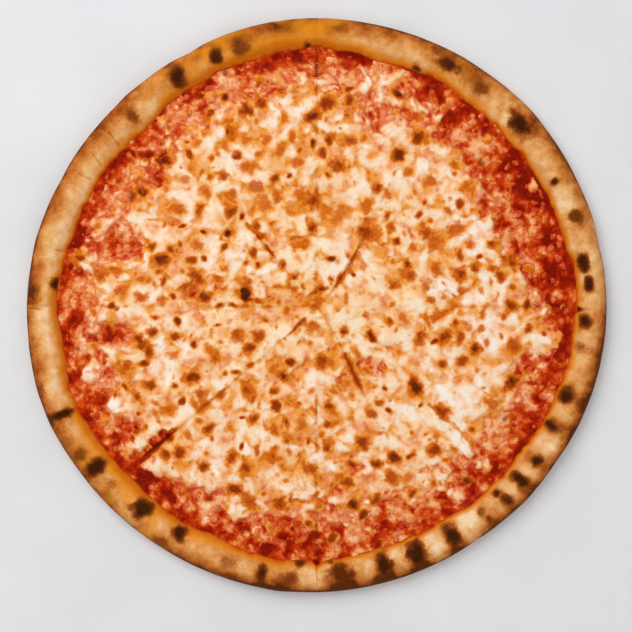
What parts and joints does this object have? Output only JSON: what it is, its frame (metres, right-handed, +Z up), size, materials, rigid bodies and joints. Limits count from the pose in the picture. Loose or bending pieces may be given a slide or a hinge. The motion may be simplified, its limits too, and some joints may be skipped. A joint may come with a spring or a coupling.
{
  "type": "pizza",
  "caption": "Round cheese pizza with a puffed, charred rim, tomato sauce and melted browned cheese, cut through into uneven slices that lie together.",
  "frame": {"origin": "centre of the box round the pizza, on the flat underside that it rests on", "axes": "+Z up out of the cheese, +X to the right and +Y away from someone who looks down on it, with one straight cut along X and one along Y"},
  "size_m": [0.3014, 0.2986, 0.0138],
  "materials": {
    "crust": "baked dough, cream to golden, matt, with charred blisters and a browned underside",
    "sauce": "cooked tomato sauce, deep red, granular and wet",
    "cheese": "melted cheese, cream to peach with oily orange and browned spots"
  },
  "bodies": {
    "root": {"crust_1": "crust", "crust_2": "crust", "crust_3": "crust", "crust_4": "crust", "crust_5": "crust", "crust_6": "crust", "crust_7": "crust", "crust_8": "crust", "sauce_1": "sauce", "sauce_2": "sauce", "sauce_3": "sauce", "sauce_4": "sauce", "sauce_5": "sauce", "sauce_6": "sauce", "sauce_7": "sauce", "sauce_8": "sauce", "cheese_1": "cheese", "cheese_2": "cheese", "cheese_3": "cheese", "cheese_4": "cheese", "cheese_5": "cheese", "cheese_6": "cheese", "cheese_7": "cheese", "cheese_8": "cheese"}
  },
  "joints": []
}
